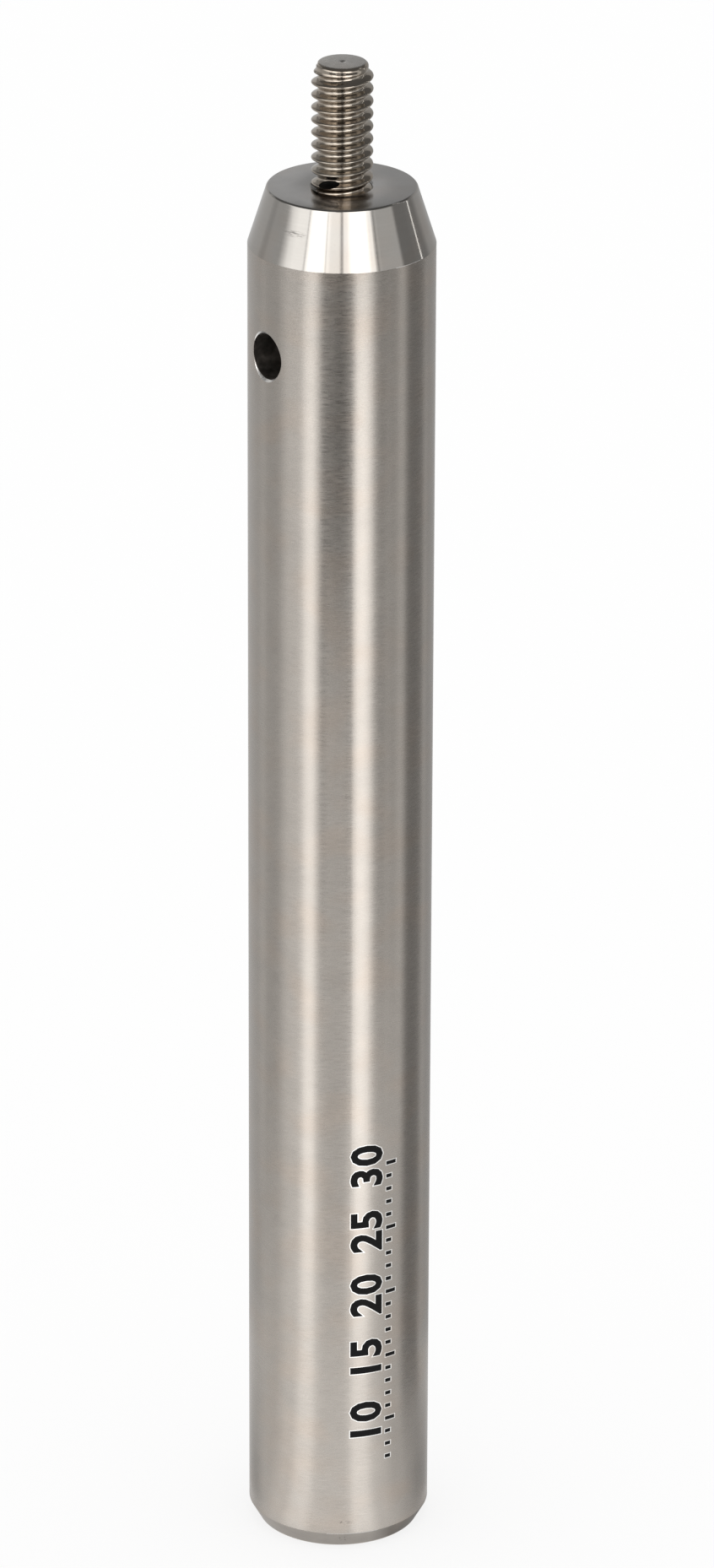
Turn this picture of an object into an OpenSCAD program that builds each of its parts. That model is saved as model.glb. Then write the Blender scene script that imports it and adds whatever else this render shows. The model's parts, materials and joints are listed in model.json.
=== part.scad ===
// Optical post: a turned stainless steel rod that carries an optic mount at a set height.
// The rod stands on its foot, +Z up, with its axis on Z and the foot's face at z = 0.
// A separate stud is screwed into its top, and its foot is tapped for a base or a table bolt.

/* [Rod] */
// Diameter of the rod
post_d = 12.7; // [11:0.1:16]
// Length of the rod, from the foot's face to the shoulder at the top
post_len = 100; // [60:0.5:160]
// Diameter of the flat shoulder at the top
shoulder_d = 10.2; // [6:0.1:10.8]
// Height of the steep cone below the shoulder
cone_h = 4; // [1.5:0.1:7]
// Width of the broken edge round the shoulder
shoulder_break = 0.1; // [0.02:0.01:0.3]
// Height of the foot's chamfer
foot_h = 1.25; // [0.3:0.05:2.5]
// Depth of the foot's chamfer, measured in from the rod's side
foot_in = 0.7; // [0.2:0.05:1.5]

/* [Stud] */
// Outside diameter of the stud's thread
stud_d = 4.166; // [3.8:0.01:5]
// Pitch of the stud's thread
stud_pitch = 0.88; // [0.5:0.01:1]
// Length of the stud above the shoulder
stud_out = 8.7; // [4:0.1:14]
// Length of the stud inside the rod
stud_in = 7.2; // [4:0.1:10]
// Depth of the lead-in chamfer round the stud's outer end, measured in from its crests
stud_lead_in = 0.45; // [0.2:0.01:0.8]
// Length of the lead-in chamfer along the stud
stud_lead_h = 1.04; // [0.3:0.01:1.5]
// Diameter of the centre mark that the lathe left in the stud's outer end
centre_mark_d = 0.5; // [0.2:0.05:1]

/* [Hole for the stud] */
// Diameter of the tapping drill, to which the hole is drawn
stud_drill_d = 3.45; // [2.8:0.05:3.6]
// Radial gap between the hole's wall and the part of the stud that is screwed into it
stud_gap = 0.02; // [0.01:0.01:0.1]
// Room left below the stud's inner end
stud_end_room = 0.2; // [0.1:0.05:1]
// Diameter of the countersink where the hole meets the shoulder
stud_sink_d = 4.3; // [3.8:0.05:5.5]

/* [Cross hole] */
// Diameter of the hole for a tommy bar, drilled straight across the rod
cross_d = 3.175; // [2:0.05:4]
// Solid metal between the cross hole and the point of the stud's hole
cross_web = 0.83; // [0.2:0.01:4]
// Radial width of the countersink at each mouth of the cross hole
cross_sink = 0.18; // [0.05:0.01:0.4]

/* [Tapped hole in the foot] */
// Diameter of the tapping drill
base_drill_d = 5.1; // [3:0.1:6]
// Depth of the hole's full diameter
base_depth = 13; // [6:0.5:20]
// Diameter of the countersink at the hole's mouth
base_sink_d = 6.6; // [6.1:0.1:7.6]

/* [Hidden] */
$fn = 128;
steel = [0.74, 0.72, 0.69];
stud_steel = [0.66, 0.61, 0.54];
// How far a cutting tool runs past the face that it enters
over = 1;
// Half of a twist drill's point angle
drill_half_angle = 59;
// Half of the angle between the flanks of a unified thread
flank_half_angle = 30;
// A unified thread's depth and the width of its crest, as shares of its pitch
thread_depth_share = 0.613;
crest_share = 0.125;

post_r = post_d / 2;
shoulder_r = shoulder_d / 2;
stud_r = stud_d / 2;
stud_root_r = stud_r - thread_depth_share * stud_pitch;
stud_crest = crest_share * stud_pitch;
stud_flank = (stud_r - stud_root_r) * tan(flank_half_angle);
stud_hole_r = stud_drill_d / 2;
stud_hole_depth = stud_in + stud_end_room;
cross_r = cross_d / 2;
cross_z = post_len - stud_hole_depth - drill_point(stud_hole_r) - cross_web - cross_r;

// Height of the conical point that a twist drill leaves
function drill_point(r) = r / tan(drill_half_angle);

// Half section of one ridge of the thread, rising from its root at height z
function ridge(z) = [
    [stud_root_r, z],
    [stud_r, z + stud_flank],
    [stud_r, z + stud_flank + stud_crest],
    [stud_root_r, z + 2 * stud_flank + stud_crest],
];

// A drilled blind hole going down from z = 0, with its point and a countersink of 90 degrees
module drilled_hole(r, depth, mouth_r) {
    rotate_extrude()
        polygon([
            [0, -depth - drill_point(r)],
            [r, -depth],
            [r, r - mouth_r],
            [mouth_r + over, over],
            [0, over],
        ]);
}

// The turned outline: foot chamfer, straight shank, steep cone and flat shoulder
module turned_rod() {
    rotate_extrude()
        polygon([
            [0, 0],
            [post_r - foot_in, 0],
            [post_r, foot_h],
            [post_r, post_len - cone_h],
            [shoulder_r, post_len - shoulder_break],
            [shoulder_r - shoulder_break, post_len],
            [0, post_len],
        ]);
}

// The cross hole along X, with a countersink of 90 degrees where it comes out on each side
module cross_hole() {
    rotate([0, 90, 0])
        rotate_extrude()
            polygon([
                [0, -post_r - over],
                [cross_r + cross_sink + over, -post_r - over],
                [cross_r, -post_r + cross_sink],
                [cross_r, post_r - cross_sink],
                [cross_r + cross_sink + over, post_r + over],
                [0, post_r + over],
            ]);
}

module post_body() {
    color(steel)
        difference() {
            turned_rod();
            translate([0, 0, post_len])
                drilled_hole(stud_hole_r, stud_hole_depth, stud_sink_d / 2);
            rotate([180, 0, 0])
                drilled_hole(base_drill_d / 2, base_depth, base_sink_d / 2);
            translate([0, 0, cross_z])
                cross_hole();
        }
}

// The thread above the shoulder, as closed ridges one pitch apart
module ridges() {
    count = ceil(stud_out / stud_pitch);
    rotate_extrude()
        polygon(concat(
            [[0, 0]],
            [for (i = [0 : count - 1]) each ridge(i * stud_pitch)],
            [[stud_root_r, count * stud_pitch], [0, count * stud_pitch]]
        ));
}

// The blank that the thread is cut on, with its outer end chamfered and marked by the lathe's centre
module stud_blank() {
    centre_mark_r = centre_mark_d / 2;
    rotate_extrude()
        polygon([
            [0, 0],
            [stud_r, 0],
            [stud_r, stud_out - stud_lead_h],
            [stud_r - stud_lead_in, stud_out],
            [centre_mark_r, stud_out],
            [0, stud_out - centre_mark_r],
        ]);
}

// The part of the stud that is screwed in, drawn to the size of its tapping drill
module screwed_in_part() {
    translate([0, 0, -stud_in])
        cylinder(r = stud_hole_r - stud_gap, h = stud_in);
}

module threaded_stud() {
    color(stud_steel)
        translate([0, 0, post_len]) {
            intersection() {
                ridges();
                stud_blank();
            }
            screwed_in_part();
        }
}

post_body();
threaded_stud();
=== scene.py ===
"""Optical post: the finished look of the turned rod, the stud screwed into it and its engraved scale."""
import json
import math

import bpy
from mathutils import Matrix, Vector


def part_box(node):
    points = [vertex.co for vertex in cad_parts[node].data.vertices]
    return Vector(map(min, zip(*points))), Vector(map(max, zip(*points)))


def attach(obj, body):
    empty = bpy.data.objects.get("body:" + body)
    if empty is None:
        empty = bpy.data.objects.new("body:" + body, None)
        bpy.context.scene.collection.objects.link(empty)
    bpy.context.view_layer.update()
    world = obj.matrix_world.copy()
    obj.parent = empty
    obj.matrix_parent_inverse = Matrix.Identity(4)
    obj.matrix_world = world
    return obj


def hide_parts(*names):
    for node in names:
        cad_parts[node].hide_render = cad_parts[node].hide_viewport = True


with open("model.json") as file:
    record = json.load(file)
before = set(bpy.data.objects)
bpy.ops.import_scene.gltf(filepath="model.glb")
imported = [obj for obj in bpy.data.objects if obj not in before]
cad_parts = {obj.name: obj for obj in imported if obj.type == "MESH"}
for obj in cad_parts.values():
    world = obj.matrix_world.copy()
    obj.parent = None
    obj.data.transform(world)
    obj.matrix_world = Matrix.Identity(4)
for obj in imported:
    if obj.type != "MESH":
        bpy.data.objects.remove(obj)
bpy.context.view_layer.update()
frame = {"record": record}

MM = 0.001
MICRON = 0.001 * MM
TURN = 2 * math.pi

# ---------------------------------------------------------------------------
# Sizes, in metres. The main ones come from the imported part.
# ---------------------------------------------------------------------------
body_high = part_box("post_body")[1]
stud_low, stud_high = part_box("threaded_stud")
mounts = {mount["name"]: mount for mount in frame["record"]["mounts"]}

POST_R = body_high.x
POST_TOP = body_high.z
SHOULDER_R = 5.1 * MM
SHOULDER_BREAK = 0.1 * MM
CONE_H = 4 * MM
CONE_FOOT = POST_TOP - CONE_H
FOOT_H = 1.25 * MM
FOOT_IN = 0.7 * MM
# How far from a corner of the outline its rounding starts
BODY_EASE = 0.03 * MM

# The painted highlight lines on the chamfer's upper edge and at the cone's foot, bright only over the
# directions where the highlight falls: half their height and their ends
EDGE_LINE = 0.02 * MM
FOOT_LINE_FROM = math.radians(-44)
FOOT_LINE_TO = math.radians(-10)
CONE_LINE_FROM = math.radians(-2)
CONE_LINE_TO = math.radians(20)

CROSS_R = mounts["cross_hole"]["dims"]["r_mm"] * MM
CROSS_Z = mounts["cross_hole"]["pos_m"][2]
CROSS_SINK = 0.18 * MM
CROSS_EASE = 0.04 * MM

BASE_DRILL_R = mounts["base_thread"]["dims"]["r_mm"] * MM
BASE_DEPTH = 13 * MM
BASE_SINK_R = 3.3 * MM
BASE_THREAD_R = 3.175 * MM
BASE_PITCH = 1.27 * MM

STUD_R = stud_high.x
STUD_TOP = stud_high.z
STUD_FOOT = stud_low.z
STUD_PITCH = 0.88 * MM
# Height at which the stud's crest passes the +X side
STUD_CREST_Z = POST_TOP - 0.11 * MM
STUD_LEAD_IN = 0.45 * MM
STUD_LEAD_H = 1.04 * MM
# At the outer end the lead-in starts as a short plain pilot with a broken edge
STUD_PILOT_IN = 0.33 * MM
STUD_PILOT_H = 0.5 * MM
STUD_PILOT_BREAK = 0.18 * MM
STUD_PILOT_LEAD_H = 0.92 * MM
STUD_MARK_R = 0.22 * MM
STUD_MARK_DEPTH = 0.07 * MM
STUD_EASE = 0.12 * MM
STUD_EASE_STEPS = 5
STUD_HOLE_R = 1.725 * MM
STUD_HOLE_FOOT = STUD_FOOT - 0.2 * MM
STUD_SINK_R = 2.15 * MM
THREAD_GAP = 0.02 * MM
# How far the root of a tap lies inside the wall of its drilled hole
TAP_INSIDE = 0.05 * MM

# The pocket at the foot of the stud's thread: its heights, its cutter and where the cutter stood
RUN_OUT_LOW = POST_TOP + 0.35 * MM
RUN_OUT_HIGH = POST_TOP + 0.83 * MM
RUN_OUT_R = 0.78 * MM
RUN_OUT_REACH = 1.95 * MM
RUN_OUT_AZIMUTH = math.radians(-65)
RUN_OUT_TILT = math.radians(-9)

DRILL_HALF_ANGLE = math.radians(59)
FLANK_SLOPE = math.tan(math.radians(60))
# The thread's depth, the width of its crest and the rounding of its root, as shares of its pitch
THREAD_DEPTH_SHARE = 0.5
CREST_SHARE = 0.13
ROOT_EASE_SHARE = 0.05
# How many turns a helix runs on past each end before it is cut off
SPARE_TURNS = 2

# The height scale engraved low on the rod. Its sizes are in millimetres, its heights above the rod's foot.
SCALE_FROM = 7
SCALE_TO = 30
SCALE_NUMBERED = 5
SCALE_AZIMUTH = math.radians(-5.5)
# The ticks start to the right of the scale's own line, and the numbers stand on a line to the left of it
TICK_START = 0.05
DIGIT_BASE = -0.36
TICK_SHORT = 0.45
TICK_LONG = 0.8
TICK_WIDTH = 0.28
DIGIT_SIZE = 3.1
DIGIT_BOLD = 0.105
DIGIT_CURVE_STEPS = 3
DIGIT_SPACING = 1.1
SCALE_DEPTH = 0.06
SCALE_RIM = 0.06
SCALE_RIM_DEPTH = 0.012
PAINT_LOW = 0.015
# How far the paint reaches into the steel round it
PAINT_GRIP = 0.004
BEND_STEP = 0.15
# Points of the scale nearer than this are one
MARK_CLOSE = 0.001

# How finely round shapes are divided
SIDES = 256
HOLE_SIDES = 96
THREAD_SIDES = 96
THREAD_STEPS = 20
BALL_SIDES = 48
# Edges between faces that turn by less than this, in degrees, are shaded smooth
SMOOTH_UNDER = 30
SMOOTH_THREAD_UNDER = 40
# How far a cutting tool stands out of what it cuts
OVER = 1 * MM
# The radius at which a turned shape stops short of a point
TIP_R = 0.02 * MM
# Points nearer than this are one
CLOSE = 0.0002 * MM
# A face whose normal has more Z than this lies flat
FLAT = 0.9


# ---------------------------------------------------------------------------
# Modelling helpers
# ---------------------------------------------------------------------------
def deselect_all():
    if bpy.context.object and bpy.context.object.mode != "OBJECT":
        bpy.ops.object.mode_set(mode="OBJECT")
    bpy.ops.object.select_all(action="DESELECT")


def pick(obj):
    """Makes obj the only selected object, and the active one."""
    deselect_all()
    obj.select_set(True)
    bpy.context.view_layer.objects.active = obj


def edit(obj, kind="VERT"):
    """Opens obj in edit mode with all of it selected."""
    pick(obj)
    bpy.ops.object.mode_set(mode="EDIT")
    bpy.ops.mesh.select_mode(type=kind)
    bpy.ops.mesh.select_all(action="SELECT")


def close_edit():
    """Turns every face outwards and leaves edit mode."""
    bpy.ops.mesh.select_all(action="SELECT")
    bpy.ops.mesh.normals_make_consistent(inside=False)
    bpy.ops.object.mode_set(mode="OBJECT")


def apply_modifier(obj, kind, **settings):
    pick(obj)
    modifier = obj.modifiers.new(kind.lower(), kind)
    for setting, value in settings.items():
        setattr(modifier, setting, value)
    bpy.ops.object.modifier_apply(modifier=modifier.name)


def settle(obj):
    """Puts the object's place, turn and scale into its mesh."""
    pick(obj)
    bpy.ops.object.transform_apply(location=True, rotation=True, scale=True)


def start_line(name, start, size=1 * MM):
    """A new object in edit mode: one selected point at start, merged from a small plane of the size."""
    deselect_all()
    bpy.ops.mesh.primitive_plane_add(size=size, location=start)
    line = bpy.context.object
    line.name = name
    settle(line)
    edit(line)
    bpy.ops.mesh.merge(type="CENTER")
    return line


def draw_out(step):
    """Extrudes what is selected by a step in X, Y and Z."""
    bpy.ops.mesh.extrude_region_move(TRANSFORM_OT_translate={"value": step})


def eased(corners, ease, steps=3):
    """An outline with each corner rounded by a short curve that starts ease away from it."""
    outline = [corners[0]]
    for before, corner, after in zip(corners, corners[1:], corners[2:]):
        before, corner, after = Vector(before), Vector(corner), Vector(after)
        start = corner + (before - corner).normalized() * min(ease, (before - corner).length / 3)
        end = corner + (after - corner).normalized() * min(ease, (after - corner).length / 3)
        for step in range(steps + 1):
            t = step / steps
            outline.append(tuple(start * (1 - t) ** 2 + corner * (2 * t * (1 - t)) + end * t ** 2))
    return outline + [corners[-1]]


def turned(name, outline, sides=SIDES):
    """A turned solid: a disc drawn out along Z through the outline's (radius, height) points."""
    deselect_all()
    radius, height = outline[0]
    bpy.ops.mesh.primitive_circle_add(
        vertices=sides, radius=radius, fill_type="NGON", location=(0, 0, height))
    solid = bpy.context.object
    solid.name = name
    settle(solid)
    edit(solid, "FACE")
    for next_radius, next_height in outline[1:]:
        draw_out((0, 0, next_height - height))
        share = next_radius / radius
        bpy.ops.transform.resize(value=(share, share, 1), center_override=(0, 0, next_height))
        radius, height = next_radius, next_height
    close_edit()
    return solid


def corner_cut(apart, ease):
    """How far a rounded corner lies off the nearer of its two lines, where they are so far apart."""
    return max(ease - abs(apart), 0) ** 2 / (4 * ease)


def thread_radius(from_crest, crest_r, root_r, pitch):
    """Radius of a 60 degree thread at a distance along Z from its crest, both crest and root rounded."""
    crest_half = pitch * CREST_SHARE / 2
    root_half = pitch / 2 - crest_half - (crest_r - root_r) / FLANK_SLOPE
    crest_ease = crest_half * FLANK_SLOPE
    root_ease = max(root_half, ROOT_EASE_SHARE * pitch) * FLANK_SLOPE
    flank_r = crest_r - (from_crest - crest_half) * FLANK_SLOPE
    below_crest = min(flank_r, crest_r) - corner_cut(flank_r - crest_r, crest_ease)
    return max(below_crest, root_r) + corner_cut(below_crest - root_r, root_ease)


def threaded(name, crest_r, root_r, pitch, low, high, crest_z):
    """A threaded rod from low to high: one pitch of the outline swept up a right-hand helix, then cut off
    square. Its crest passes the +X side at the height crest_z."""
    first = crest_z + pitch * (math.floor((low - crest_z) / pitch) - SPARE_TURNS - 0.5)
    turns = math.ceil((high - first) / pitch) + SPARE_TURNS
    rod = start_line(name, (root_r, 0, first), pitch)
    radius = root_r
    for step in range(1, THREAD_STEPS + 1):
        from_crest = abs(step / THREAD_STEPS - 0.5) * pitch
        next_radius = thread_radius(from_crest, crest_r, root_r, pitch)
        draw_out((next_radius - radius, 0, pitch / THREAD_STEPS))
        radius = next_radius
    bpy.ops.object.mode_set(mode="OBJECT")
    apply_modifier(rod, "SCREW", axis="Z", angle=TURN, screw_offset=pitch, iterations=turns,
                   steps=THREAD_SIDES, render_steps=THREAD_SIDES, use_smooth_shade=False)
    edit(rod)
    bpy.ops.mesh.remove_doubles(threshold=CLOSE)
    for end, side in ((low, "clear_inner"), (high, "clear_outer")):
        bpy.ops.mesh.select_all(action="SELECT")
        bpy.ops.mesh.bisect(
            plane_co=(0, 0, end), plane_no=(0, 0, 1), use_fill=True, threshold=CLOSE, **{side: True})
    close_edit()
    return rod


def cut(body, tool, keep="DIFFERENCE"):
    """Cuts body with a tool, whose materials go to the faces that it leaves, and throws the tool away."""
    apply_modifier(
        body, "BOOLEAN", operation=keep, solver="EXACT", material_mode="TRANSFER", object=tool)
    bpy.data.objects.remove(tool)


def smooth(obj, sharp_from=SMOOTH_UNDER):
    """Shades obj smooth, with edges sharp from an angle on, and lets its large faces lead the normals."""
    pick(obj)
    bpy.ops.object.shade_smooth_by_angle(angle=math.radians(sharp_from))
    apply_modifier(obj, "WEIGHTED_NORMAL", keep_sharp=True)


def round_axis(azimuth, radius, height):
    """A point by its direction round the axis from -Y, its distance from the axis and its height."""
    return (radius * math.sin(azimuth), -radius * math.cos(azimuth), height)


# ---------------------------------------------------------------------------
# Nodes
# ---------------------------------------------------------------------------
def new_material(name):
    material = bpy.data.materials.new(name)
    material.use_nodes = True
    tree = material.node_tree
    return material, tree, tree.nodes["Principled BSDF"]


def placed(tree, location=(0, 0, 0), rotation=(0, 0, 0), scale=(1, 1, 1)):
    """Object coordinates, moved, turned or scaled."""
    place = tree.nodes.new("ShaderNodeTexCoord")
    mapping = tree.nodes.new("ShaderNodeMapping")
    mapping.inputs["Location"].default_value = location
    mapping.inputs["Rotation"].default_value = rotation
    mapping.inputs["Scale"].default_value = scale
    tree.links.new(place.outputs["Object"], mapping.inputs["Vector"])
    return mapping.outputs["Vector"]


def grain(tree, size, detail=3.0):
    """Noise whose marks are about size = (across X, across Y, along Z) millimetres."""
    noise = tree.nodes.new("ShaderNodeTexNoise")
    noise.inputs["Scale"].default_value = 1
    noise.inputs["Detail"].default_value = detail
    noise.inputs["Roughness"].default_value = NOISE_ROUGHNESS
    place = placed(tree, scale=[1 / (length * MM) for length in size])
    tree.links.new(place, noise.inputs["Vector"])
    return noise.outputs["Fac"]


def spot(tree, centre, reach):
    """A soft patch, 1 at its centre and 0 from its reach = (across, along Z) on."""
    scale = (1 / reach[0], 1 / reach[0], 1 / reach[1])
    ball = tree.nodes.new("ShaderNodeTexGradient")
    ball.gradient_type = "SPHERICAL"
    place = placed(tree, location=[-part * size for part, size in zip(centre, scale)], scale=scale)
    tree.links.new(place, ball.inputs["Vector"])
    return ball.outputs["Fac"]


def spread(tree, value, low, high, start=0.3, end=0.7):
    """Maps a pattern's value from start..end to low..high."""
    node = tree.nodes.new("ShaderNodeMapRange")
    node.inputs["From Min"].default_value = start
    node.inputs["From Max"].default_value = end
    node.inputs["To Min"].default_value = low
    node.inputs["To Max"].default_value = high
    tree.links.new(value, node.inputs["Value"])
    return node.outputs["Result"]


def varied(tree, pattern, middle, share):
    """A number that a pattern moves by up to a share of itself either way."""
    return spread(tree, pattern, middle * (1 - share), middle * (1 + share))


def combined(tree, first, second, operation="MULTIPLY"):
    node = tree.nodes.new("ShaderNodeMath")
    node.operation = operation
    tree.links.new(first, node.inputs[0])
    tree.links.new(second, node.inputs[1])
    return node.outputs["Value"]


def scaled(tree, colour, factor):
    """A colour, plain or from other nodes, times a pattern's value."""
    node = tree.nodes.new("ShaderNodeVectorMath")
    node.operation = "SCALE"
    if isinstance(colour, bpy.types.NodeSocket):
        tree.links.new(colour, node.inputs[0])
    else:
        node.inputs[0].default_value = colour
    tree.links.new(factor, node.inputs["Scale"])
    return node.outputs["Vector"]


def warmed(tree, colour, share):
    """The colour with a warmer tint laid over it as far as the share, a pattern of 0 to 1, says."""
    tint = tree.nodes.new("ShaderNodeVectorMath")
    tint.operation = "ADD"
    tint.inputs[1].default_value = (1, 1, 1)
    tree.links.new(scaled(tree, WARMTH, share), tint.inputs[0])
    node = tree.nodes.new("ShaderNodeVectorMath")
    node.operation = "MULTIPLY"
    tree.links.new(colour, node.inputs[0])
    tree.links.new(tint.outputs["Vector"], node.inputs[1])
    return node.outputs["Vector"]


def bump(tree, shader, height, depth):
    """Presses a height pattern into the surface, depth metres deep."""
    node = tree.nodes.new("ShaderNodeBump")
    node.inputs["Strength"].default_value = 1
    node.inputs["Distance"].default_value = depth
    tree.links.new(height, node.inputs["Height"])
    tree.links.new(node.outputs["Normal"], shader.inputs["Normal"])


def turned_tangent(tree, shader, anisotropy):
    """Spreads the highlight across the tool marks, which run round the axis, by a quarter turn."""
    tangent = tree.nodes.new("ShaderNodeTangent")
    tangent.direction_type = "RADIAL"
    tangent.axis = "Z"
    tree.links.new(tangent.outputs["Tangent"], shader.inputs["Tangent"])
    shader.inputs["Anisotropic"].default_value = anisotropy
    shader.inputs["Anisotropic Rotation"].default_value = 0.25


def light(tree, level):
    """An even light, white at a level of 1."""
    emission = tree.nodes.new("ShaderNodeEmission")
    emission.inputs["Strength"].default_value = level
    return emission.outputs["Emission"]


def show(tree, shader):
    """Makes a shader's output the look of the material."""
    tree.links.new(shader, tree.nodes["Material Output"].inputs["Surface"])


def show_mixed(tree, share, first, second):
    """Makes the look a mix of two shaders, of which the second shows as far as the share says."""
    mix = tree.nodes.new("ShaderNodeMixShader")
    tree.links.new(share, mix.inputs["Fac"])
    tree.links.new(first, mix.inputs[1])
    tree.links.new(second, mix.inputs[2])
    show(tree, mix.outputs["Shader"])


# ---------------------------------------------------------------------------
# Finishes
# ---------------------------------------------------------------------------
STEEL = (0.437, 0.403, 0.367)
PALE_STEEL = (0.425, 0.405, 0.378)
PLAIN_STEEL = (0.44, 0.43, 0.419)
WARM_STEEL = (0.43, 0.385, 0.33)
# Brighter than any steel: a painted highlight
HIGHLIGHT_STEEL = (0.85, 0.84, 0.82)
END_STEEL = (0.58, 0.56, 0.53)
# Darker than the outer steel: painted shade inside the holes
BORE_SHADE_STEEL = (0.30, 0.28, 0.26)
PAINT_BLACK = (0.005, 0.005, 0.005)
# The black of the painted shade in the pocket above the stud's last turn
POCKET_SHADE_BLACK = (0.006, 0.005, 0.004)
# How much more red, green and blue a warm patch sends back
WARMTH = (0.03, -0.01, -0.04)
NOISE_ROUGHNESS = 0.6
# Sizes of the soft patches of tone and of the warm ones, in millimetres
PATCH_SIZE = (2.2, 2.2, 1.6)
WARM_SIZE = (3.5, 3.5, 2.5)
PAINT_PATCH_SIZE = (0.4, 0.4, 0.4)
PAINT_ROUGHNESS = 0.6
PAINT_GLOSS = 0.1


def steel(name, colour, roughness, streak_size, depth, streak, mottle, anisotropy=0.0):
    """A turned steel surface. Streaks round the axis vary its gloss and relief, and its tone by the share
    streak. Soft patches vary its tone by the share mottle, and others make it warmer."""
    material, tree, shader = new_material(name)
    shader.inputs["Metallic"].default_value = 1
    streaks = grain(tree, streak_size)
    patches = grain(tree, PATCH_SIZE, detail=2.0)
    warm_patches = spread(tree, grain(tree, WARM_SIZE, detail=1.0), 0, 1, start=0.48, end=0.7)
    tone = combined(tree, varied(tree, streaks, 1, streak), varied(tree, patches, 1, mottle))
    colours = warmed(tree, scaled(tree, colour, tone), warm_patches)
    tree.links.new(colours, shader.inputs["Base Color"])
    tree.links.new(varied(tree, streaks, roughness, share=0.2), shader.inputs["Roughness"])
    bump(tree, shader, streaks, depth)
    if anisotropy:
        turned_tangent(tree, shader, anisotropy)
    return material


def paint_finish(name, colour):
    """Baked paint, or black painted shade, a little uneven in tone and gloss."""
    material, tree, shader = new_material(name)
    patches = grain(tree, PAINT_PATCH_SIZE)
    tone = varied(tree, patches, 1, share=0.2)
    tree.links.new(scaled(tree, colour, tone), shader.inputs["Base Color"])
    tree.links.new(varied(tree, patches, PAINT_ROUGHNESS, share=0.15), shader.inputs["Roughness"])
    shader.inputs["Specular IOR Level"].default_value = PAINT_GLOSS
    bump(tree, shader, patches, 2 * MICRON)
    return material


def soiled(material, centre, reach, mark_size, showing, darkness):
    """Darkens a finish in a soft patch, where a noise of marks is above the lower value of showing."""
    tree = material.node_tree
    colour = tree.nodes["Principled BSDF"].inputs["Base Color"]
    patch = spread(tree, spot(tree, centre, reach), 0, 1, start=0.1, end=0.6)
    marks = spread(tree, grain(tree, mark_size), 0, 1, *showing)
    level = spread(tree, combined(tree, patch, marks), 1, 1 - darkness, start=0, end=1)
    tree.links.new(scaled(tree, colour.links[0].from_socket, level), colour)


brushed = steel("brushed_shank", STEEL, roughness=0.28, streak_size=(0.7, 0.7, 0.04), depth=4 * MICRON,
                streak=0.08, mottle=0.03, anisotropy=0.8)
polished = steel("polished_cone", PALE_STEEL, roughness=0.1, streak_size=(3, 3, 0.1), depth=0.3 * MICRON,
                 streak=0.02, mottle=0.02, anisotropy=0.5)
faced = steel("faced_shoulder", PLAIN_STEEL, roughness=0.19, streak_size=(2, 2, 2), depth=0.3 * MICRON,
              streak=0.02, mottle=0.04)
chamfered = steel("foot_chamfer", STEEL, roughness=0.38, streak_size=(1.2, 1.2, 0.07), depth=1 * MICRON,
                  streak=0.04, mottle=0.05, anisotropy=0.6)
# Painted highlight for the edge lines, the cross hole's countersinks and the scale's rim
painted_highlight = steel("painted_edge_highlight", HIGHLIGHT_STEEL, roughness=0.3, streak_size=(0.3, 0.3, 0.3),
                  depth=0.5 * MICRON, streak=0.04, mottle=0.04)
# A rougher drilled finish, darkened as painted shade inside the holes
shaded_bore = steel("drilled_bore_shaded", BORE_SHADE_STEEL, roughness=0.35, streak_size=(0.6, 0.6, 0.6), depth=4 * MICRON,
              streak=0.2, mottle=0.1)
rolled = steel("rolled_thread", WARM_STEEL, roughness=0.11, streak_size=(2, 2, 0.2), depth=0.3 * MICRON,
               streak=0.04, mottle=0.06)
stud_end = steel("stud_end", END_STEEL, roughness=0.3, streak_size=(0.5, 0.5, 0.5), depth=1 * MICRON,
                 streak=0.04, mottle=0.06)
painted = paint_finish("black_paint", PAINT_BLACK)
# Black painted shade for the pocket at the foot of the stud's thread
pocket_shade = paint_finish("painted_pocket_shade", POCKET_SHADE_BLACK)

# A stain left on the cone, and small dark specks on the foot's chamfer and just above it
STAIN_AZIMUTH = math.radians(-69.6)
SPECKS_AZIMUTH = math.radians(-32.5)
soiled(polished, round_axis(STAIN_AZIMUTH, 5.7 * MM, 98.2 * MM), reach=(1.1 * MM, 0.28 * MM),
       mark_size=(0.5, 0.5, 0.07), showing=(0.42, 0.6), darkness=0.6)
soiled(chamfered, round_axis(SPECKS_AZIMUTH, 6 * MM, 0.75 * MM), reach=(0.6 * MM, 0.35 * MM),
       mark_size=(0.12, 0.12, 0.12), showing=(0.56, 0.62), darkness=0.7)
soiled(brushed, round_axis(SPECKS_AZIMUTH, POST_R, 2.2 * MM), reach=(0.75 * MM, 0.25 * MM),
       mark_size=(0.16, 0.16, 0.08), showing=(0.54, 0.6), darkness=0.55)


def give_finishes(obj, finishes, choose):
    """Gives obj the finishes, and each of its faces the one that choose picks for it."""
    for finish in finishes:
        obj.data.materials.append(finish)
    for face in obj.data.polygons:
        face.material_index = finishes.index(choose(face))


# ---------------------------------------------------------------------------
# The turned rod
# ---------------------------------------------------------------------------
def drill_point(radius):
    """Height of the point that a drill leaves."""
    return radius / math.tan(DRILL_HALF_ANGLE)


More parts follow.
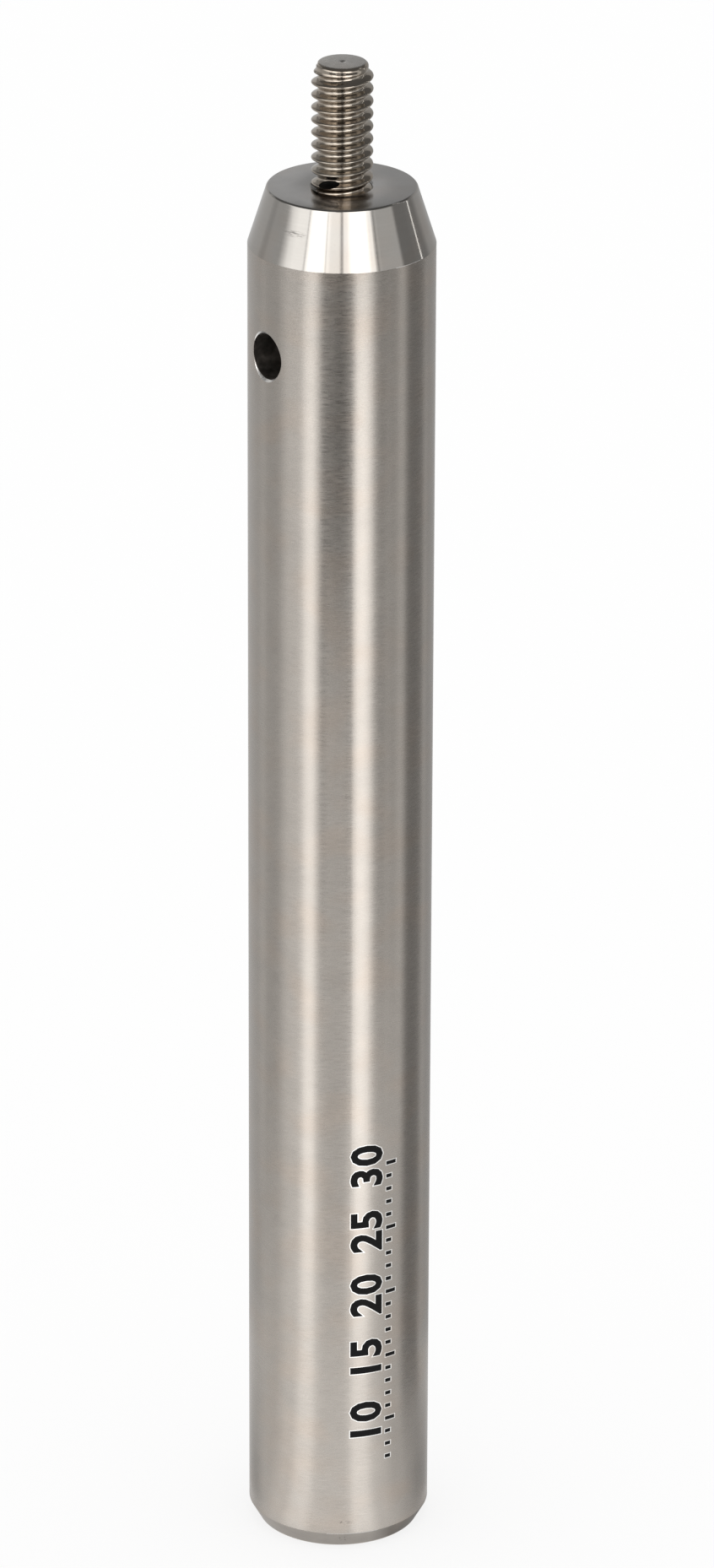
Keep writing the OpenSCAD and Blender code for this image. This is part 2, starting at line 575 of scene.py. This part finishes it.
def body_outline():
    """From the inner end of the foot's hole, round the outside, to the inner end of the stud's hole."""
    base_sink_h = BASE_SINK_R - BASE_DRILL_R
    stud_sink_h = STUD_SINK_R - STUD_HOLE_R
    corners = [
        (TIP_R, BASE_DEPTH + drill_point(BASE_DRILL_R)),
        (BASE_DRILL_R, BASE_DEPTH),
        (BASE_DRILL_R, base_sink_h),
        (BASE_SINK_R, 0),
        (POST_R - FOOT_IN, 0),
        (POST_R, FOOT_H),
        (POST_R, CONE_FOOT),
        (SHOULDER_R, POST_TOP - SHOULDER_BREAK),
        (SHOULDER_R - SHOULDER_BREAK, POST_TOP),
        (STUD_SINK_R, POST_TOP),
        (STUD_HOLE_R, POST_TOP - stud_sink_h),
        (STUD_HOLE_R, STUD_HOLE_FOOT),
        (TIP_R, STUD_HOLE_FOOT - drill_point(STUD_HOLE_R)),
    ]
    return eased(corners, BODY_EASE)


def on_line(face, height, azimuth_from, azimuth_to):
    """Whether a face of the rod is part of a painted highlight line at a height, between two directions.
    """
    azimuth = math.atan2(face.center.x, -face.center.y)
    return abs(face.center.z - height) < EDGE_LINE and azimuth_from < azimuth < azimuth_to


def body_finish(face):
    """Which finish a face of the uncut rod gets, by its place and direction."""
    radius = face.center.xy.length
    height = face.center.z
    in_foot = radius < BASE_SINK_R and height < POST_TOP / 2
    if in_foot or radius < STUD_HOLE_R + BODY_EASE:
        return shaded_bore
    if on_line(face, FOOT_H, FOOT_LINE_FROM, FOOT_LINE_TO):
        return painted_highlight
    if height < FOOT_H:
        return chamfered
    if on_line(face, CONE_FOOT, CONE_LINE_FROM, CONE_LINE_TO):
        return painted_highlight
    if face.normal.z > FLAT or radius < STUD_SINK_R:
        return faced
    if height > CONE_FOOT:
        return polished
    return brushed


# The countersinks get the painted highlight, the bore the drilled finish
def cross_drill_finish(face):
    return shaded_bore if abs(face.center.x) < POST_R - CROSS_SINK else painted_highlight


def cross_drill():
    """The cross hole's drill and its countersinks, lying along X."""
    reach = POST_R + OVER
    mouth = CROSS_R + CROSS_SINK + OVER
    corners = [
        (mouth, -reach),
        (CROSS_R, -POST_R + CROSS_SINK),
        (CROSS_R, POST_R - CROSS_SINK),
        (mouth, reach),
    ]
    drill = turned("cross_drill", eased(corners, CROSS_EASE), HOLE_SIDES)
    drill.rotation_euler = (0, TURN / 4, 0)
    drill.location = (0, 0, CROSS_Z)
    settle(drill)
    give_finishes(drill, [shaded_bore, painted_highlight], cross_drill_finish)
    return drill


def tap(name, crest_r, drill_r, pitch, low, high, crest_z):
    """A tap that cuts the thread of a drilled hole."""
    tool = threaded(name, crest_r, drill_r - TAP_INSIDE, pitch, low, high, crest_z)
    tool.data.materials.append(shaded_bore)
    return tool


def scale_tick(height, length, middle, thickness, grow):
    """A tick at a height, its thickness centred at the depth middle, and grown all round."""
    deselect_all()
    bpy.ops.mesh.primitive_cube_add(
        size=1,
        location=(TICK_START + length / 2, middle, height),
        scale=(length + 2 * grow, thickness, TICK_WIDTH + 2 * grow),
    )
    return bpy.context.object


def scale_number(height, middle, thickness, grow):
    """The number of a height, lying along the rod."""
    deselect_all()
    bpy.ops.object.text_add(location=(DIGIT_BASE, middle, height), rotation=(TURN / 4, -TURN / 4, 0))
    text = bpy.context.object.data
    text.body = str(height)
    text.size = DIGIT_SIZE
    text.space_character = DIGIT_SPACING
    text.align_x = "CENTER"
    text.offset = DIGIT_BOLD + grow
    text.extrude = thickness / 2
    text.resolution_u = DIGIT_CURVE_STEPS
    bpy.ops.object.convert(target="MESH")
    return bpy.context.object


def flat_marks(name, deep, proud, grow):
    """The ticks and numbers as one flat mesh in millimetres, from deep behind its face to proud of it."""
    middle = (deep - proud) / 2
    thickness = deep + proud
    parts = []
    for height in range(SCALE_FROM, SCALE_TO + 1):
        numbered = height % SCALE_NUMBERED == 0
        length = TICK_LONG if numbered else TICK_SHORT
        parts.append(scale_tick(height, length, middle, thickness, grow))
        if numbered:
            parts.append(scale_number(height, middle, thickness, grow))
    pick(parts[0])
    for part in parts:
        part.select_set(True)
    bpy.ops.object.join()
    marks = bpy.context.object
    marks.name = name
    settle(marks)
    return marks


def bend_round_rod(marks):
    """Slices flat marks finely, bends them to the rod's curve and puts them in their place on it."""
    edit(marks)
    bpy.ops.mesh.remove_doubles(threshold=MARK_CLOSE)
    left = min(vertex.co.x for vertex in marks.data.vertices)
    right = max(vertex.co.x for vertex in marks.data.vertices)
    for step in range(1, math.ceil((right - left) / BEND_STEP)):
        bpy.ops.mesh.select_all(action="SELECT")
        bpy.ops.mesh.bisect(plane_co=(left + step * BEND_STEP, 0, 0), plane_no=(1, 0, 0))
    close_edit()
    rod_r = POST_R / MM
    apply_modifier(
        marks, "SIMPLE_DEFORM", deform_method="BEND", deform_axis="Z", angle=(right - left) / rod_r)
    marks.location = (0, -rod_r, 0)
    settle(marks)
    marks.rotation_euler = (0, 0, SCALE_AZIMUTH)
    marks.scale = (MM, MM, MM)
    settle(marks)


def scale_marks(name, deep, proud, grow, finish):
    """The scale's marks as solids in the rod's surface, from deep below it to proud of it."""
    marks = flat_marks(name, deep, proud, grow)
    bend_round_rod(marks)
    marks.data.materials.clear()
    marks.data.materials.append(finish)
    return marks


def make_body():
    body = turned("turned_post", body_outline())
    give_finishes(body, [brushed, polished, faced, chamfered, painted_highlight, shaded_bore], body_finish)
    cut(body, cross_drill())
    cut(body, tap("base_tap", BASE_THREAD_R, BASE_DRILL_R, BASE_PITCH,
                  -OVER, BASE_DEPTH - BASE_PITCH, crest_z=0))
    cut(body, tap("stud_tap", STUD_R + THREAD_GAP, STUD_HOLE_R, STUD_PITCH,
                  STUD_HOLE_FOOT, POST_TOP + OVER, crest_z=STUD_CREST_Z))
    # The rim, a shallow step round the engraved marks, is painted bright as its highlight
    cut(body, scale_marks("scale_rim", SCALE_RIM_DEPTH, SCALE_DEPTH, SCALE_RIM, painted_highlight))
    cut(body, scale_marks("scale_recess", SCALE_DEPTH, SCALE_DEPTH, 0, shaded_bore))
    smooth(body)
    return body


# ---------------------------------------------------------------------------
# The threaded stud
# ---------------------------------------------------------------------------
def stud_finish(face):
    return stud_end if face.normal.z > FLAT else rolled


def stud_blank():
    """The blank that holds the thread, chamfered at both ends and with the lathe's centre mark on top."""
    pilot_r = STUD_R - STUD_PILOT_IN
    corners = [
        (TIP_R, STUD_FOOT),
        (STUD_R - STUD_LEAD_IN, STUD_FOOT),
        (STUD_R + TIP_R, STUD_FOOT + STUD_LEAD_H),
        (STUD_R + TIP_R, STUD_TOP - STUD_PILOT_LEAD_H),
        (pilot_r, STUD_TOP - STUD_PILOT_H),
        (pilot_r, STUD_TOP - STUD_PILOT_BREAK),
        (pilot_r - STUD_PILOT_BREAK, STUD_TOP),
        (STUD_MARK_R, STUD_TOP),
        (TIP_R, STUD_TOP - STUD_MARK_DEPTH),
    ]
    blank = turned("stud_blank", eased(corners, STUD_EASE, STUD_EASE_STEPS), HOLE_SIDES)
    give_finishes(blank, [rolled, stud_end], stud_finish)
    return blank


def run_out():
    """The pocket that the threading die left above the last turn, its faces black as painted shade in the
    gap between stud and post.
    """
    deselect_all()
    bpy.ops.mesh.primitive_uv_sphere_add(
        segments=BALL_SIDES,
        ring_count=BALL_SIDES // 2,
        radius=1,
        scale=(RUN_OUT_R, RUN_OUT_R, (RUN_OUT_HIGH - RUN_OUT_LOW) / 2),
        rotation=(0, RUN_OUT_TILT, RUN_OUT_AZIMUTH),
        location=round_axis(RUN_OUT_AZIMUTH, RUN_OUT_REACH, (RUN_OUT_LOW + RUN_OUT_HIGH) / 2),
    )
    pocket = bpy.context.object
    settle(pocket)
    pocket.data.materials.append(pocket_shade)
    return pocket


def make_stud():
    root_r = STUD_R - THREAD_DEPTH_SHARE * STUD_PITCH
    stud = threaded("rolled_stud", STUD_R, root_r, STUD_PITCH,
                    STUD_FOOT - OVER, STUD_TOP + OVER, crest_z=STUD_CREST_Z)
    stud.data.materials.append(rolled)
    blank = stud_blank()
    cut(blank, run_out())
    cut(stud, blank, "INTERSECT")
    smooth(stud, SMOOTH_THREAD_UNDER)
    return stud


def make_paint():
    """The paint that fills the scale, a little below the rod's surface and gripped all round."""
    paint = scale_marks("scale_paint", SCALE_DEPTH + 2 * PAINT_GRIP, -PAINT_LOW, PAINT_GRIP, painted)
    smooth(paint)
    return paint


turned_post = make_body()
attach(turned_post, "root")
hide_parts("post_body")

rolled_stud = make_stud()
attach(rolled_stud, "root")
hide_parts("threaded_stud")

scale_paint = make_paint()
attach(scale_paint, "root")

# ---------------------------------------------------------------------------
# Camera. Its angles are in radians, and its lens and sensor in millimetres.
# ---------------------------------------------------------------------------
CAMERA_AZIMUTH = math.radians(-36.3)
CAMERA_SIDE = 1.15 * MM
CAMERA_DISTANCE = 532.84 * MM
CAMERA_HEIGHT = 286.89 * MM
CAMERA_PITCH = 0.40829
CAMERA_ROLL = 0.00378
CAMERA_LENS = 193.41
CAMERA_SENSOR = 36


def make_camera():
    bpy.ops.object.camera_add()
    camera = bpy.context.object
    camera.data.sensor_width = CAMERA_SENSOR
    camera.data.lens = CAMERA_LENS
    camera.matrix_world = (
        Matrix.Rotation(CAMERA_AZIMUTH, 4, "Z")
        @ Matrix.Translation((CAMERA_SIDE, -CAMERA_DISTANCE, CAMERA_HEIGHT))
        @ Matrix.Rotation(TURN / 4 - CAMERA_PITCH, 4, "X")
        @ Matrix.Rotation(CAMERA_ROLL, 4, "Z")
    )
    bpy.context.scene.camera = camera


make_camera()

# ---------------------------------------------------------------------------
# Studio. Its sizes and distances are in millimetres. Directions and side fades are in degrees, counted to
# the right from the camera's side of the post. A level of 1 is white.
# ---------------------------------------------------------------------------
NO_FADES = (0, 0)
# On a card with one faded side, the change at the other still takes this share of a turn
SHARP_EDGE = 0.0001
# How wide a card's facets are, in degrees
CARD_STEP = 4

WALL_DISTANCE = 300
WALL_TOP = 250
WALL_LEVELS = (0.9, 0.72, 0.3, 0.43, 0.58, 0.37, 0.58, 1.0)
UPPER_WALL_TOP = 400
UPPER_WALL_LEVEL = 0.15
CEILING_WIDTH = 900
CEILING_LEVEL = 0.13

# Heights of the lower and upper edges that several cards share
SOFTBOX_HEIGHTS = (100, 300)
FLAG_HEIGHTS = (70, 350)
SIDE_HEIGHTS = (0, 108)
LOBE_HEIGHTS = (0, 84)
HIGH_FRONT_HEIGHTS = (58, 118)
EDGE_HEIGHTS = (0, 13)
EDGE_TOP_FADE = 10

# The cards on the floor start under the foot and lie in layers this far apart
SHEET_GAP = 0.02
GROUND_NEAR = 5
GROUND_FAR = 60
FOOT_CARD_LEVEL = 1.1
FOOT_CARD_SIDES = 64

FLOOR_WIDTH = 8000
FLOOR_COLOUR = (0.97, 0.97, 0.97, 1)
FLOOR_ROUGHNESS = 0.9
# How much of the post's shadow the camera and the metal see
FLOOR_SHADOW = 0.22


def glow(name, level):
    """A surface that shows an even level of light."""
    material, tree, shader = new_material(name)
    tree.nodes.remove(shader)
    show(tree, light(tree, level))
    return material


def fade_edges(material, middle, half_width, fades, top, top_fade):
    """Thins a card out towards its left and right edges and, where the top fade isn't 0, its top."""
    tree = material.node_tree
    place = placed(tree, rotation=(0, 0, -math.radians(middle)))
    around = tree.nodes.new("ShaderNodeTexGradient")
    around.gradient_type = "RADIAL"
    tree.links.new(place, around.inputs["Vector"])
    left = 0.5 - half_width / 360
    right = 0.5 + half_width / 360
    shown = combined(
        tree,
        spread(tree, around.outputs["Fac"], 0, 1, left - SHARP_EDGE, left + fades[0] / 360),
        spread(tree, around.outputs["Fac"], 1, 0, right - fades[1] / 360, right + SHARP_EDGE),
    )
    if top_fade:
        apart = tree.nodes.new("ShaderNodeSeparateXYZ")
        tree.links.new(place, apart.inputs["Vector"])
        below_top = spread(tree, apart.outputs["Z"], 1, 0, (top - top_fade) * MM, top * MM)
        shown = combined(tree, shown, below_top)
    clear = tree.nodes.new("ShaderNodeBsdfTransparent")
    show_mixed(tree, shown, clear.outputs["BSDF"], tree.nodes["Emission"].outputs["Emission"])


def only_reflected(obj):
    """Lets obj be seen in the metal alone."""
    obj.visible_camera = False
    obj.visible_diffuse = False
    obj.visible_shadow = False


def sheet_round(name, span, first, last, level, fades=NO_FADES, top_fade=0):
    """A sheet of light swept round the post, over a span of directions, from the line between two
    (distance, height) points."""
    left, right = span
    width = right - left
    sheet = start_line(name, (first[0] * MM, 0, first[1] * MM))
    draw_out(((last[0] - first[0]) * MM, 0, (last[1] - first[1]) * MM))
    bpy.ops.mesh.select_all(action="SELECT")
    bpy.ops.mesh.spin(
        steps=math.ceil(width / CARD_STEP), angle=math.radians(width), center=(0, 0, 0), axis=(0, 0, -1))
    bpy.ops.object.mode_set(mode="OBJECT")
    start = math.degrees(CAMERA_AZIMUTH) - 90 + left
    sheet.rotation_euler = (0, 0, math.radians(start))
    settle(sheet)
    material = glow(name, level)
    if fades != NO_FADES:
        fade_edges(material, start + width / 2, width / 2, fades, last[1], top_fade)
    sheet.data.materials.append(material)
    only_reflected(sheet)


def card(name, span, heights, level, distance, fades=NO_FADES, top_fade=0):
    """An upright card or softbox."""
    low, high = heights
    sheet_round(name, span, (distance, low), (distance, high), level, fades, top_fade)


def ground_card(name, span, reach, layer, level, fades=NO_FADES):
    """A card lying on the floor round the foot, out to its reach."""
    height = layer * SHEET_GAP
    sheet_round(name, span, (GROUND_NEAR, height), (reach, height), level, fades)


def make_walls():
    """Walls all round, from the one to the right of the camera, with their upper parts darker."""
    width = 360 / len(WALL_LEVELS)
    for number, level in enumerate(WALL_LEVELS):
        span = (number * width, number * width + width)
        card("wall_%d" % number, span, (0, WALL_TOP), level, WALL_DISTANCE)
        card("upper_wall_%d" % number, span, (WALL_TOP, UPPER_WALL_TOP), UPPER_WALL_LEVEL, WALL_DISTANCE)


def make_ceiling():
    deselect_all()
    bpy.ops.mesh.primitive_plane_add(size=CEILING_WIDTH * MM, location=(0, 0, UPPER_WALL_TOP * MM))
    ceiling = bpy.context.object
    ceiling.name = "ceiling"
    settle(ceiling)
    ceiling.data.materials.append(glow("ceiling", CEILING_LEVEL))
    only_reflected(ceiling)


def make_foot_card():
    """The lowest card on the floor, all round the foot."""
    deselect_all()
    bpy.ops.mesh.primitive_circle_add(
        vertices=FOOT_CARD_SIDES,
        radius=GROUND_FAR * MM,
        fill_type="NGON",
        location=(0, 0, SHEET_GAP * MM),
    )
    foot_card = bpy.context.object
    foot_card.name = "foot_card"
    settle(foot_card)
    foot_card.data.materials.append(glow("foot_card", FOOT_CARD_LEVEL))
    only_reflected(foot_card)


def white_floor():
    """The camera and the metal see mostly plain white, with a faint shadow of the post on it."""
    material, tree, shader = new_material("white_floor")
    shader.inputs["Base Color"].default_value = FLOOR_COLOUR
    shader.inputs["Roughness"].default_value = FLOOR_ROUGHNESS
    shader.inputs["Specular IOR Level"].default_value = 0
    ray = tree.nodes.new("ShaderNodeLightPath").outputs
    in_metal = combined(tree, ray["Is Glossy Ray"], ray["Is Transmission Ray"], "MAXIMUM")
    in_sight = combined(tree, ray["Is Camera Ray"], in_metal, "MAXIMUM")
    share = spread(tree, in_sight, 0, 1 - FLOOR_SHADOW, start=0, end=1)
    show_mixed(tree, share, shader.outputs["BSDF"], light(tree, 1))
    return material


def make_floor():
    deselect_all()
    bpy.ops.mesh.primitive_plane_add(size=FLOOR_WIDTH * MM)
    floor = bpy.context.object
    floor.name = "floor"
    floor.data.materials.append(white_floor())


def make_world():
    """An even white world."""
    world = bpy.data.worlds.new("studio")
    bpy.context.scene.world = world
    world.use_nodes = True
    background = world.node_tree.nodes["Background"]
    background.inputs["Color"].default_value = (1, 1, 1, 1)
    background.inputs["Strength"].default_value = 1


make_walls()
make_ceiling()

# What the cone and the stud show
card("softbox_left", (-102, -1), SOFTBOX_HEIGHTS, level=1.95, distance=250, fades=(40, 2))
card("softbox_left_core", (-46, -14), SOFTBOX_HEIGHTS, level=2.8, distance=245, fades=(5, 8))
card("frame_line_outer", (-47.5, -45.5), SOFTBOX_HEIGHTS, level=1.2, distance=240)
card("frame_line_inner", (-20.5, -19), SOFTBOX_HEIGHTS, level=1.4, distance=240)
card("softbox_right", (1, 43), SOFTBOX_HEIGHTS, level=2.1, distance=250, fades=(2, 2))
card("softbox_right_core", (7, 37), SOFTBOX_HEIGHTS, level=2.9, distance=245, fades=(5, 4))
card("frame_line_dark", (44.5, 45.5), SOFTBOX_HEIGHTS, level=0.3, distance=240)
card("frame_line_right", (48, 49), SOFTBOX_HEIGHTS, level=0.9, distance=240)
card("camera_flag", (-11, 3), (190, 330), level=0.3, distance=240, fades=(4, 4))
card("centre_slit", (-0.3, 0.5), (110, 330), level=0.4, distance=238)
card("right_flag", (76, 101), FLAG_HEIGHTS, level=0.28, distance=240, fades=(4, 4))
card("right_strip", (109, 110.5), FLAG_HEIGHTS, level=2.4, distance=235)
card("left_flag", (-155, -138), FLAG_HEIGHTS, level=0.3, distance=240, fades=(4, 4))

# A dark hood between what the shank and the cone show, for the undersides of the thread's ridges
card("hood_left", (-62, -28), (84, 95), level=0.12, distance=61, fades=(8, 0))
card("hood_right", (14, 72), (70, 93), level=0.12, distance=88, fades=(0, 8))

# What the shank shows
card("low_left_edge", (-125, -72), EDGE_HEIGHTS, level=0.55, distance=8.5,
     fades=(24, 16), top_fade=EDGE_TOP_FADE)
card("low_left_back", (-160, -100), SIDE_HEIGHTS, level=0.62, distance=32, fades=(6, 12))
card("low_left_side", (-112, -68), SIDE_HEIGHTS, level=0.58, distance=61, fades=(12, 12))
card("low_left", (-84, -36), LOBE_HEIGHTS, level=0.97, distance=62, fades=(30, 4))
card("low_left_lobe", (-48, -27), LOBE_HEIGHTS, level=1.9, distance=45, fades=(8, 5))
card("low_front", (-28, 16), (0, 58), level=0.08, distance=115, fades=(6, 5))
card("low_front_high", (-28, 16), HIGH_FRONT_HEIGHTS, level=0.36, distance=115, fades=(6, 5))
card("low_front_stripe", (-8, 6), HIGH_FRONT_HEIGHTS, level=0.08, distance=113, fades=(4, 3))
card("low_front_near", (-22, 12), (0, 60), level=0.72, distance=40, fades=(8, 8))
card("low_right_lobe", (14, 40), LOBE_HEIGHTS, level=2.1, distance=45, fades=(4, 11))
card("low_right", (38, 59), (0, 68), level=0.45, distance=90, fades=(4, 4))
card("low_right_side", (57, 76), (0, 90), level=0.54, distance=92, fades=(4, 4))
card("low_right_flag", (72, 114), (0, 94), level=0.27, distance=24, fades=(8, 8))
card("low_right_edge", (60, 125), EDGE_HEIGHTS, level=0.45, distance=8.5,
     fades=(22, 24), top_fade=EDGE_TOP_FADE)
card("low_right_back", (112, 160), SIDE_HEIGHTS, level=0.47, distance=30, fades=(10, 8))

# What the foot shows: cards on the floor round it, with its own shade in the layers above them
ground_card("ground_left", (-170, -62), GROUND_FAR, layer=2, level=0.85, fades=(10, 18))
ground_card("ground_left_lobe", (-54, -24), GROUND_FAR, layer=2, level=1.45, fades=(9, 9))
ground_card("ground_right_lobe", (8, 39), GROUND_FAR, layer=2, level=1.5, fades=(8, 10))
ground_card("ground_right", (44, 170), GROUND_FAR, layer=2, level=0.78, fades=(20, 10))
ground_card("foot_shade", (-175, 175), 7.7, layer=3, level=0.66)
ground_card("foot_shade_right", (24, 110), 7.4, layer=4, level=0.3, fades=(18, 20))
make_foot_card()

make_floor()
make_world()
bpy.context.scene.view_settings.view_transform = "Standard"
